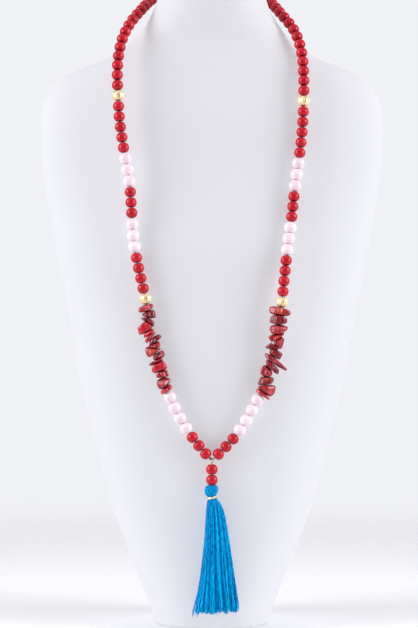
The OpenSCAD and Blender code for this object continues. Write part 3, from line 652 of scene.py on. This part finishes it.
coral, wire = material("coral_polished")
own, shade = wire.field("own", 1), wire.field("shade", 1)
black, orange, pale = (wire.field(name) for name in ("black", "orange", "pale"))
patch = own.noise(0.45, 2, 0.5)
speck = own.noise(3.2, 4, 0.65)
streaks = own.stretched(0.2, 1.8, 1.8).noise(1.0, 2, 0.5)
colour = (patch.between(0.35, 0.65) * 0.6).mix(shade, rgb(98, 2, 20))
colour = (streaks.between(0.5, 0.7) * 0.5).mix(colour, rgb(222, 44, 62))
colour = (orange * speck.between(0.3, 0.6)).mix(colour, rgb(214, 82, 44))
# Pale pink places on the fronts of some chips: painted highlights.
colour = (pale * 0.5).mix(colour, rgb(236, 100, 118))
colour = (speck.between(0.66, 0.8) * 0.3).mix(colour, rgb(60, 4, 14))
# Darker towards the hole, on the faces where neighbouring chips meet: painted shade between them.
colour = (1 - wire.field("out").between(0.45, 0.95)).mix(colour, rgb(44, 0, 8))
# The hollows are painted near black and matt: painted shade inside them.
dark = (black * (0.6 + 0.6 * patch)).between(0.3, 0.6)
colour = dark.mix(colour, rgb(20, 6, 9))
wire.skin(colour, 0.34 + 0.06 * speck + 0.4 * dark, (patch + streaks * 0.1).bump(0.008), {
    "Coat Weight": 0.25 - 0.25 * dark, "Coat Roughness": 0.17})
for k in range(1, len(CHIPS_AT) + 1):
    i, f, chip_own, out = chip_surface(k)
    chip_own = worn(chip_own, out, 60 + k)
    wall = np.array((0.25, 0.5, 0.75))[:, None, None]
    chip_own = np.concatenate([chip_own, chip_own[-1] * (1 - wall) + chip_own[0] * wall])
    out = np.concatenate([out, np.zeros((len(wall), out.shape[1]))])
    points = JOINTS[i] + chip_own @ f
    pit = place_near(points, BLACK_PLACES, k)
    middle = points.reshape(-1, 3).mean(0)
    points = middle + (points - middle) * (1 - PIT_DEPTH * pit)[..., None]
    colour = np.array(rgb(*CORAL_TONES[CHIP_TONES[k - 1]])[:3])
    chip = surface(f"coral_tumbled_{k}", points[None], rows_close=True, fields={
        "own": own_places(chip_own, 1, 90 + k), "out": out[None], "black": pit[None],
        "shade": np.broadcast_to(colour, (1, *points.shape)),
        "orange": place_near(points, ORANGE_PLACES, k)[None],
        "pale": place_near(points, PAINTED_HIGHLIGHT_PLACES, k)[None]})
    dress(chip, coral, "string", "coral", f"coral_chip_{k}")

# Seed bead: a tiny dark red glass ring on the thread beside the eye, which keeps the eye
# from slipping into the last bead's hole.
SEED_D, SEED_LEN, SEED_HOLE_R, SEED_SQUARE, SEED_ROWS = 2.0, 1.3, 0.5, 0.75, 16
seed_from, seed_to = JOINTS[0], THREAD_POINTS[-1]
turn = turns(SEED_ROWS)
seed_wall = SEED_D / 2 - SEED_HOLE_R
seed_section = np.stack([
    SEED_HOLE_R + seed_wall / 2 + seed_wall / 2 * squarer(cos(turn), SEED_SQUARE),
    SEED_LEN / 2 * squarer(sin(turn), SEED_SQUARE)], axis=1)
seed_own = round_grid(seed_section, sides=32)
seed_grid = seed_own @ axes(unit(seed_to - seed_from)) + (seed_from + seed_to) / 2
seed = surface("seed_bead_glass", seed_grid[None], rows_close=True, fields={"own": seed_own[None]})

glass, wire = material("dark_red_glass")
streak = wire.field("own", 1).noise(1.5, 2)
colour = streak.mix(rgb(98, 4, 16), rgb(150, 14, 30))
wire.skin(colour, 0.12 + 0.08 * streak, streak.bump(0.02), {"Coat Weight": 0.4})
dress(seed, glass, "string", "seed_glass", "seed_bead")

# Drop pin: gold wire bent to an eye round the thread, wound twice round its own neck, and run
# straight down through the drop's beads into the head of the tassel.
EYE_D, COLLAR_D, COLLAR_H, SHANK_D, SHANK_IN, DROP_BEADS = 2.2, 1.8, 1.25, 0.8, 3.5, 2
# The collar's turns overlap a little, and the shank reaches up into them
COLLAR_TURNS, COIL_OVERLAP, SHANK_UP = 2.0, 0.09, 0.1
EYE_POINTS, COIL_POINTS, SHANK_POINTS, WIRE_SIDES, SHANK_SIDES = 49, 64, 24, 14, 20
ACROSS, UPWARDS = np.array((1.0, 0, 0)), np.array((0, 0, 1.0))
EYE_Z = -(EYE_D / 2 - THREAD_R - EYE_CLEAR)
COLLAR_Z = EYE_Z - EYE_D / 2 - WIRE_D / 2
BEADS_Z = COLLAR_Z - COLLAR_H - BEAD_GAP
TASSEL_Z = BEADS_Z - DROP_BEADS * (RED_LEN + BEAD_GAP)
a = np.linspace(0, 2 * pi, EYE_POINTS)
eye_r = (EYE_D + WIRE_D) / 2
eye_path = np.stack([0 * a + EYE_SIDE, eye_r * sin(a), EYE_Z + eye_r * cos(a)], axis=1)
eye_path = np.vstack([eye_path[-2:-1], eye_path, eye_path[1:2]])
eye_grid = tubes(eye_path[None], ACROSS, WIRE_D / 2, WIRE_SIDES)[:, 1:-2]
a = np.linspace(0, 2 * pi * COLLAR_TURNS, COIL_POINTS)
coil_wire = COLLAR_H / (COLLAR_TURNS + 1) / 2 + COIL_OVERLAP
coil_r = COLLAR_D / 2 - coil_wire
coil_z = COLLAR_Z - coil_wire - (COLLAR_H - 2 * coil_wire) * a / a[-1]
coil_path = np.stack([coil_r * cos(a), coil_r * sin(a), coil_z], axis=1)
coil_grid = tubes(coil_path[None], UPWARDS, coil_wire, WIRE_SIDES)
shank_z = np.linspace(TASSEL_Z - SHANK_IN, COLLAR_Z + SHANK_UP, SHANK_POINTS)
shank_path = np.stack([0 * shank_z, 0 * shank_z, shank_z], axis=1)
shank_grid = tubes(shank_path[None], ACROSS, SHANK_D / 2, SHANK_SIDES)
pin = surface("pin_wire", PIVOT + eye_grid, rows_close=True)

wire_gold, wire = material("gold_wire")
drawn = wire.place().stretched(900, 900, 250).noise(6.0, 2)
colour = drawn.mix(rgb(226, 176, 96), rgb(255, 226, 160))
wire.skin(colour, 0.2 + 0.15 * drawn, drawn.bump(0.01), {"Metallic": 1.0})
dress(pin, wire_gold, "drop", "gold_metal", "drop_pin")
dress(surface("pin_collar", PIVOT + coil_grid), wire_gold, "drop", "gold_metal")
dress(surface("pin_shank", PIVOT + shank_grid), wire_gold, "drop", "gold_metal")

# Drop beads: two more of the same red stone beads, threaded on the pin one above the other.
# They are drawn a little larger than the solids, inside the gaps.
DROP_WIDER, DROP_LONGER, DROP_HOLE_WIDER, DROP_TONE = 0.15, 0.2, 0.01, 0.75
drop_own = round_grid(bead_section(
    RED_D + DROP_WIDER, RED_LEN + DROP_LONGER, HOLE_R + DROP_HOLE_WIDER, rows=40), sides=64)
for k in range(1, DROP_BEADS + 1):
    middle = PIVOT + np.array((0, 0, BEADS_Z - (k - 1) * (RED_LEN + BEAD_GAP) - RED_LEN / 2))
    bead = surface(f"drop_bead_stone_{k}", (drop_own + middle)[None], rows_close=True,
                   fields=bead_fields(drop_own, 1, 140 + k) | {"tone": DROP_TONE})
    dress(bead, red_stone, "drop", "red_stone", f"drop_bead_{k}")

# Tassel's head: the hank of blue silk threads folded over the pin, so that each thread runs
# from the middle of the top over the ball and down into the tied neck, slanting as it goes.
TASSEL_LEN, HEAD_D, HEAD_H, NECK_D, HEM_W, SKIRT_DEPTH = 91.0, 9.6, 8.6, 5.6, 30.0, 0.74
BAND_Z = TASSEL_Z - HEAD_H
BAND_TILT = np.radians(10)
HEAD_THREADS, HEAD_POINTS, HEAD_SIDES, HEAD_THREAD_R, HEAD_MIDDLE = 84, 26, 7, 0.3, 4
HEAD_STEPS, HEAD_CORE_SIDES, HEAD_CORE_ROWS = 8, 48, 30
# How far round the threads slant and wander, in radians
HEAD_SLANT, HEAD_WANDER = 0.55, 0.06
# A few threads lie over the others and slant the other way, between these shares of the way down
OVER_THREADS, OVER_FROM, OVER_REACH, OVER_SLANT, OVER_INSET = 12, 0.08, 0.8, 0.9, 0.12
CORE_INSET = 0.35
# Sections of the head from the top down: height, radius and tilt as shares
HEAD_ROWS = np.array([
    (1, 0.16, 0), (0.995, 0.42, 0), (0.965, 0.74, 0), (0.86, 0.93, 0.1), (0.66, 1, 0.3),
    (0.45, 0.96, 0.6), (0.28, 0.84, 0.9), (0.13, 0.6, 1), (0, 0.56, 1), (-0.12, 0.56, 1)])


def tilted(x, y, z, tilt):
    """Points turned by a tilt about the depth, with z measured from the band's middle."""
    return np.stack([
        x * cos(tilt) - z * sin(tilt), y, BAND_Z + x * sin(tilt) + z * cos(tilt)], axis=-1)


def head_point(at, turn, inset):
    """Point of the head at a share of the way down its rows and a turn: its row's radius less the
    inset, round the band's axis, which leans by the row's tilt."""
    rows = through(HEAD_ROWS, HEAD_STEPS)
    down = np.linspace(0, 1, len(rows))
    height, radius, tilt = (np.interp(at, down, rows[:, c]) for c in range(3))
    radius = radius * HEAD_D / 2 - inset
    return tilted(radius * cos(turn), radius * sin(turn), HEAD_H * height, tilt * BAND_TILT)


silk, wire = material("blue_silk_thread")
tone, down, place = wire.field("tone"), wire.field("down"), wire.place()
broad = place.stretched(260, 260, 22).noise(1.0, 2)
fibre = place.stretched(1500, 1500, 330).noise(1.0, 3)
strength = tone * 0.8 + fibre.between(0.35, 0.65) * 0.55
# Lighter lower down the tassel: painted light, for the lower skirt that the lamps light less.
strength = strength + broad.between(0.3, 0.7) * 0.2 + down * 0.2
colour = (strength - 0.36).mix(rgb(0, 90, 170), rgb(8, 198, 255))
wire.skin(colour, 0.34 + 0.16 * fibre, fibre.bump(0.04), {"Specular Tint": rgb(40, 170, 255)})


def silken(name, grids, tone, down, *nodes):
    """Piece of the tassel in blue silk, with its tone and its share of the way down."""
    piece = surface(name, grids, fields={"tone": tone, "down": down})
    dress(piece, silk, "drop", "blue_thread", *nodes)


draw = np.random.default_rng(11)
at = np.linspace(0, 1, HEAD_POINTS)[None]
start = np.arange(HEAD_THREADS) + draw.uniform(-0.3, 0.3, HEAD_THREADS)
start = start[:, None] * 2 * pi / HEAD_THREADS
slant = HEAD_SLANT + draw.uniform(-0.15, 0.15, (HEAD_THREADS, 1))
wander = HEAD_WANDER * sin(5 * at + draw.uniform(0, 6, (HEAD_THREADS, 1)))
head_paths = PIVOT + head_point(at, start + slant * at + wander, HEAD_THREAD_R)
start = draw.uniform(0, 2 * pi, (OVER_THREADS, 1))
over_paths = PIVOT + head_point(OVER_FROM + OVER_REACH * at, start - OVER_SLANT * at, OVER_INSET)
paths = np.concatenate([head_paths, over_paths])
head_out = paths - (PIVOT + np.array((0, 0, BAND_Z + HEAD_MIDDLE)))
head_grid = tubes(paths, head_out, HEAD_THREAD_R, HEAD_SIDES)
silken("tassel_head_threads", head_grid, tones(len(paths), 12) * 0.7, at[..., None], "tassel")

# Head's core: the tightly folded silk under the head's threads, in the head's own shape and sunk a
# little, so that it only shows between them. Its low tone is painted shade between the threads.
turn = turns(HEAD_CORE_SIDES)
core_at = np.linspace(0, 1, HEAD_CORE_ROWS)[:, None]
silken("tassel_head_core", PIVOT + head_point(core_at, turn, CORE_INSET)[None], 0.1, 0.5)

# Tassel's skirt: several hundred silk threads that fall from the neck, fuller to the right,
# clinging together in thin locks. They were cut across, and their ends have drifted apart.
SKIRT_LEN = TASSEL_LEN - HEAD_H
LOCKS, LOCK_GROOVE = 18, 0.13
# The threads start above the band. Below it the skirt soon flattens to SKIRT_DEPTH.
SKIRT_TOP, ROUND_TO, FLATTENS = -0.012, 0.012, 0.06
# Sections of the skirt: drop as a share of its length, reach to the left and right as shares
# of HEM_W, tilt as a share of the band's, and depth of the grooves as a share
SKIRT_ROWS = np.array([
    (-0.012, 0.0933, 0.0933, 1, 0), (0.012, 0.0933, 0.0933, 1, 0), (0.03, 0.115, 0.155, 0.8, 0.4),
    (0.07, 0.13, 0.235, 0.5, 0.8), (0.13, 0.14, 0.3, 0.2, 1), (0.22, 0.155, 0.355, 0, 1),
    (0.33, 0.17, 0.405, 0, 1), (0.45, 0.2, 0.46, 0, 1), (0.58, 0.235, 0.51, 0, 1),
    (0.7, 0.27, 0.55, 0, 1), (0.82, 0.32, 0.59, 0, 1), (0.92, 0.375, 0.62, 0, 1),
    (1, 0.41, 0.6, 0, 1)])


def skirt_point(drop, turn, share):
    """Point at a share of the skirt's length down, a turn and a share of the way out from its axis:
    an oval of its reaches, drawn in where the turn falls in a groove between two locks."""
    left, right, tilt, groove = (
        np.interp(drop, SKIRT_ROWS[:, 0], SKIRT_ROWS[:, c]) for c in range(1, 5))
    valley = 1 - np.abs(sin(turn * LOCKS / 2))
    cut = share * (1 - LOCK_GROOVE * groove * valley)
    depth = np.clip(1 - (drop - ROUND_TO) / FLATTENS, SKIRT_DEPTH, 1)
    x = cos(turn) * np.where(cos(turn) > 0, right, left) * HEM_W * cut
    y = sin(turn) * (left + right) / 2 * HEM_W * depth * cut
    tilt = tilt * BAND_TILT
    return np.stack([x * cos(tilt), y, BAND_Z - SKIRT_LEN * drop + x * sin(tilt)], axis=-1)


BUNDLES, IN_BUNDLE, SKIRT_POINTS, SKIRT_SIDES = 130, 7, 42, 4
# How far bundles drift round, single threads stray from their bundle, ends fly out, and the
# skirt's threads are sunk below its outline, in radians and as shares of the way out
DRIFT, STRAY, FLY, SUNK = 0.05, 0.028, 0.02, 0.02
# Radius of a thread at the neck, and how much more it is lower down
THREAD_THIN, THREAD_FULLER = 0.15, 0.08
THREADS_OUT, CRIMP_OUT = np.array((0.31, 0.95, 0.02)), np.array((1.0, -0.6, 0))
draw = np.random.default_rng(21)
strands = np.repeat(np.arange(BUNDLES), IN_BUNDLE)
n = len(strands)
bundle_turn, bundle_out, bundle_tone, bundle_end, bundle_drift = (
    draw.uniform(low, high, (BUNDLES, 1))[strands]
    for low, high in ((-0.5, 0.5), (0.88, 1.0), (0, 1), (0.958, 1.0), (0, 2 * pi)))
drop = np.linspace(0, 1, SKIRT_POINTS)[None]**0.9
end = bundle_end + draw.uniform(-0.02, 0.012, (n, 1))
fall = SKIRT_TOP + (end - SKIRT_TOP) * drop
drift = DRIFT * sin(bundle_drift + 7 * drop) * drop
single = draw.uniform(-0.03, 0.03, (n, 1))
drift = drift + single * sin(draw.uniform(0, 6, (n, 1)) + 5 * drop)
spread = draw.normal(0, STRAY, (n, 1)) * (0.5 + 0.8 * drop)
out = bundle_out + draw.uniform(-0.05, 0.03, (n, 1))
out = np.minimum(out, 1.0) + FLY * drop**3 * draw.uniform(0, 2, (n, 1))
skirt_turn = (strands[:, None] + bundle_turn) * 2 * pi / BUNDLES + drift + spread
skirt_paths = PIVOT + skirt_point(fall, skirt_turn, out - SUNK)
# Each thread is crimped by up to 0.28 mm every 5 to 10 mm
crimp = draw.uniform(0.1, 0.28, (n, 1)) * np.minimum(1, 5 * drop)
crimp_turn = 2 * pi * fall * SKIRT_LEN / draw.uniform(5, 10, (n, 1))
crimp = crimp * sin(crimp_turn + draw.uniform(0, 6, (n, 1)))
skirt_paths = skirt_paths + crimp[..., None] * CRIMP_OUT
thick = (THREAD_THIN + THREAD_FULLER * np.minimum(1, drop * 3))[..., None]
skirt_grid = tubes(skirt_paths, THREADS_OUT, thick, SKIRT_SIDES)
skirt_tone = (0.4 * bundle_tone + 0.6 * draw.uniform(0, 1, (n, 1)))[..., None]
for half, name in enumerate(("tassel_skirt_threads", "tassel_skirt_threads_between")):
    silken(name, skirt_grid[half::2], skirt_tone[half::2], drop[..., None])

# Inner threads: ends of the same silk deep inside the skirt, which show from below and where
# the hem opens. They were cut across with the rest.
INNER, INNER_POINTS, INNER_FROM, INNER_R, STRAY_R = 420, 7, 0.78, 0.3, 0.16
turn_in = draw.uniform(0, 2 * pi, (INNER, 1))
out_in = np.sqrt(draw.uniform(0, 0.78, (INNER, 1)))
drop = np.linspace(0, 1, INNER_POINTS)[None]
fall = INNER_FROM + (draw.uniform(0.955, 0.995, (INNER, 1)) - INNER_FROM) * drop
inner_paths = PIVOT + skirt_point(fall, turn_in + 0.04 * drop * sin(9 * turn_in), out_in)
inner_grid = tubes(inner_paths, THREADS_OUT, INNER_R, SKIRT_SIDES)
silken("tassel_inner_threads", inner_grid, tones(INNER, 22) * 0.7, drop[..., None])

# Stray threads: a few silk threads that have sprung out of the skirt at its sides. Each row is
# the turn in degrees, share out at the hem, length as a share of the skirt's, and how late the
# thread leaves it, as the power of its way down.
STRAYS = np.array([
    (180, 1.32, 1.03, 3), (176, 1.22, 1.02, 2.5), (188, 1.12, 1.04, 2.5), (172, 1.06, 1.03, 2.5),
    (184, 1.2, 1.0, 2), (181, 1.14, 0.9, 0.9), (178, 1.18, 0.97, 1.3), (190, 1.12, 1.02, 1.4),
    (4, 1.12, 0.97, 3), (-6, 1.08, 0.985, 2.5), (9, 1.06, 0.99, 2.5), (2, 1.15, 0.94, 3.5),
    (200, 1.06, 1.03, 2.5), (160, 1.04, 1.04, 2.5), (-14, 1.08, 0.96, 2)])
LEAVES_AT = 0.97
drop = np.linspace(0, 1, SKIRT_POINTS)[None]
stray_turn, stray_out, stray_end, stray_late = (STRAYS[:, c:c + 1] for c in range(4))
stray_paths = PIVOT + skirt_point(
    stray_end * drop, np.radians(stray_turn) + 0 * drop,
    LEAVES_AT + (stray_out - LEAVES_AT) * drop**stray_late)
stray_grid = tubes(stray_paths, THREADS_OUT, STRAY_R, sides=5)
silken("tassel_stray_threads", stray_grid, tones(len(STRAYS), 23), drop[..., None])

# Skirt's core: stands for the mass of silk inside, which only shows between the threads; its low
# tone makes it darker blue there, as painted shade. It is one closed form in the skirt's shape,
# with a shallow dish at the end.
CORE_SIDES, CORE_ROWS, CORE_OUT, CORE_END, DISH_END, DISH_OUT = 144, 50, 0.84, 0.95, 0.92, 0.3
turn = turns(CORE_SIDES)
core_drop = np.append(np.linspace(SKIRT_TOP, CORE_END, CORE_ROWS), DISH_END)[:, None]
core_out = np.append(np.full(CORE_ROWS, CORE_OUT), DISH_OUT)[:, None]
core_tone = 0.15 + 0.1 * sin(turn * LOCKS)
core_grid = PIVOT + skirt_point(core_drop, turn, core_out)[None]
silken("tassel_skirt_core", core_grid, core_tone[None], 0.5)

# Tassel band: three turns of pale gold cord, two metal threads twisted together, wound round
# the neck with the right end higher and its ends tucked under.
BAND_H, BAND_WALL, BAND_TURNS, BAND_OPEN, BAND_CLEAR = 2.0, 0.75, 3, 0.15, 0.15
CORD_PITCH, CORD_GROOVE, BAND_POINTS, BAND_SIDES = 1.5, 0.28, 420, 14
cord_r = BAND_WALL / 2
a = np.linspace(0, 2 * pi * (BAND_TURNS - BAND_OPEN), BAND_POINTS)
band_r = NECK_D / 2 + BAND_CLEAR + cord_r
band_level = (BAND_H / 2 - cord_r) * (1 - 2 * a / a[-1])
band_path = PIVOT + tilted(band_r * cos(a), band_r * sin(a), band_level, BAND_TILT)
turn = turns(BAND_SIDES)
band_ply = np.abs(cos(turn - 2 * pi * (a * band_r)[:, None] / CORD_PITCH / 2))
band_out = np.array((-sin(BAND_TILT), 0, cos(BAND_TILT)))
band_thick = cord_r * (1 - CORD_GROOVE + CORD_GROOVE * band_ply[None])
band_grid = tubes(band_path[None], band_out, band_thick, BAND_SIDES)
band = surface("tassel_band_cord", band_grid, fields={"ply": band_ply[None]})

gold_cord, wire = material("gold_cord_twisted")
ply_shade, glint = wire.field("ply"), wire.place().noise(2600, 2)
# The cord is darker in the grooves between its plies and lighter on their crests: painted shade and
# painted highlight.
colour = (ply_shade * 0.7 + glint * 0.4).mix(rgb(196, 156, 98), rgb(255, 243, 212))
wire.skin(colour, 0.34 + 0.16 * glint, glint.bump(0.03), {"Metallic": 0.8})
dress(band, gold_cord, "drop", "gold_cord", "tassel_band")

# Floor: a plain round of pale matt paper that the bust stands on. Its rim turns clear, so that
# it fades into the pale ground behind.
FLOOR_Z, FLOOR_R, FLOOR_THICK = -0.0002, 1.3, 0.003
FLOOR_SIDES, TOP_RINGS, UNDER_RINGS = 96, 24, 4
turn = turns(FLOOR_SIDES)
radii = np.append(np.linspace(END_SHARES[1], 1, TOP_RINGS),
                  np.linspace(1, END_SHARES[1], UNDER_RINGS))[:, None] * FLOOR_R
under = np.append(np.zeros(TOP_RINGS), np.full(UNDER_RINGS, FLOOR_THICK))[:, None]
floor_grid = 1000 * np.stack([
    radii * cos(turn), radii * sin(turn), FLOOR_Z - under + 0 * radii * turn], axis=-1)
floor = surface("floor_paper", floor_grid[None])
paper, wire = material("pale_paper")
place = wire.place()
away = place.node("VectorMath", {"operation": "DISTANCE"}, {0: place, 1: (0, 0, FLOOR_Z)}, out=1)
grain = place.noise(40, 3)
lit = wire.node("BsdfPrincipled", {}, {
    "Base Color": grain.mix(rgb(216, 216, 220), rgb(220, 220, 223)), "Roughness": 0.9,
    "Emission Color": rgb(238, 238, 243), "Emission Strength": 0.2})
clear = wire.node("BsdfTransparent")
faded = wire.node("MixShader", {}, {0: away.between(0.25, 1.15), 1: lit, 2: clear})
wire.node("OutputMaterial", {}, {0: faded})
floor.data.materials.append(paper)

# Studio light: a tall softbox far round to each side, whose reflections stand left and right on
# every round bead, with a weak one above, one behind, and a pale room round them.
STUDIO_AT = np.array((0, -0.055, 0.235))


def softbox(name, azimuth, elevation, distance, width, height, power):
    """Area light that looks at the necklace from an azimuth, 0 at the camera, and an elevation,
    both in degrees, at a distance in metres."""
    a, e = np.radians((azimuth, elevation))
    back = np.array((sin(a) * cos(e), -cos(a) * cos(e), sin(e)))
    data = bpy.data.lights.new(name, "AREA")
    data.shape, data.size, data.size_y, data.energy = "RECTANGLE", width, height, power
    lamp = bpy.data.objects.new(name, data)
    lamp.location = STUDIO_AT + distance * back
    lamp.rotation_euler = (pi / 2 - e, 0, a)
    lamp.visible_camera = False
    bpy.context.scene.collection.objects.link(lamp)


softbox("softbox_left", -72, 18, 1.5, 0.7, 1.0, 24)
softbox("softbox_right", 72, 18, 1.5, 0.7, 1.0, 24)
softbox("softbox_above", 0, 72, 1.6, 1.2, 1.0, 5.5)
softbox("softbox_behind", 180, 30, 2.2, 1.6, 1.2, 16)

world = bpy.data.worlds.new("pale_room")
bpy.context.scene.world = world
world.use_nodes = True
world.node_tree.nodes.clear()
wire = Wire(world.node_tree)
seen = wire.node("Background", {}, {"Color": rgb(240, 241, 245)})
lighting = wire.node("Background", {}, {"Color": rgb(240, 240, 245), "Strength": 0.17})
room = wire.node("MixShader", {}, {0: wire.node("LightPath"), 1: lighting, 2: seen})
wire.node("OutputWorld", {}, {0: room})

# Camera: level, straight in front of the necklace, at the photograph's distance. SEEN_HEIGHT is
# the height of the picture at SEEN_DISTANCE, both in metres.
CAMERA_AT, SEEN_HEIGHT, SEEN_DISTANCE = (-0.00207, -1.665, 0.2274), 0.44902, 1.6
data = bpy.data.cameras.new("camera")
data.sensor_width = 36
data.lens = data.sensor_width * SEEN_DISTANCE / SEEN_HEIGHT
data.clip_start, data.clip_end = 0.1, 20
camera = bpy.data.objects.new("camera", data)
camera.location, camera.rotation_euler = CAMERA_AT, (pi / 2, 0, 0)
bpy.context.scene.collection.objects.link(camera)
bpy.context.scene.camera = camera
bpy.context.scene.view_settings.view_transform = "Standard"
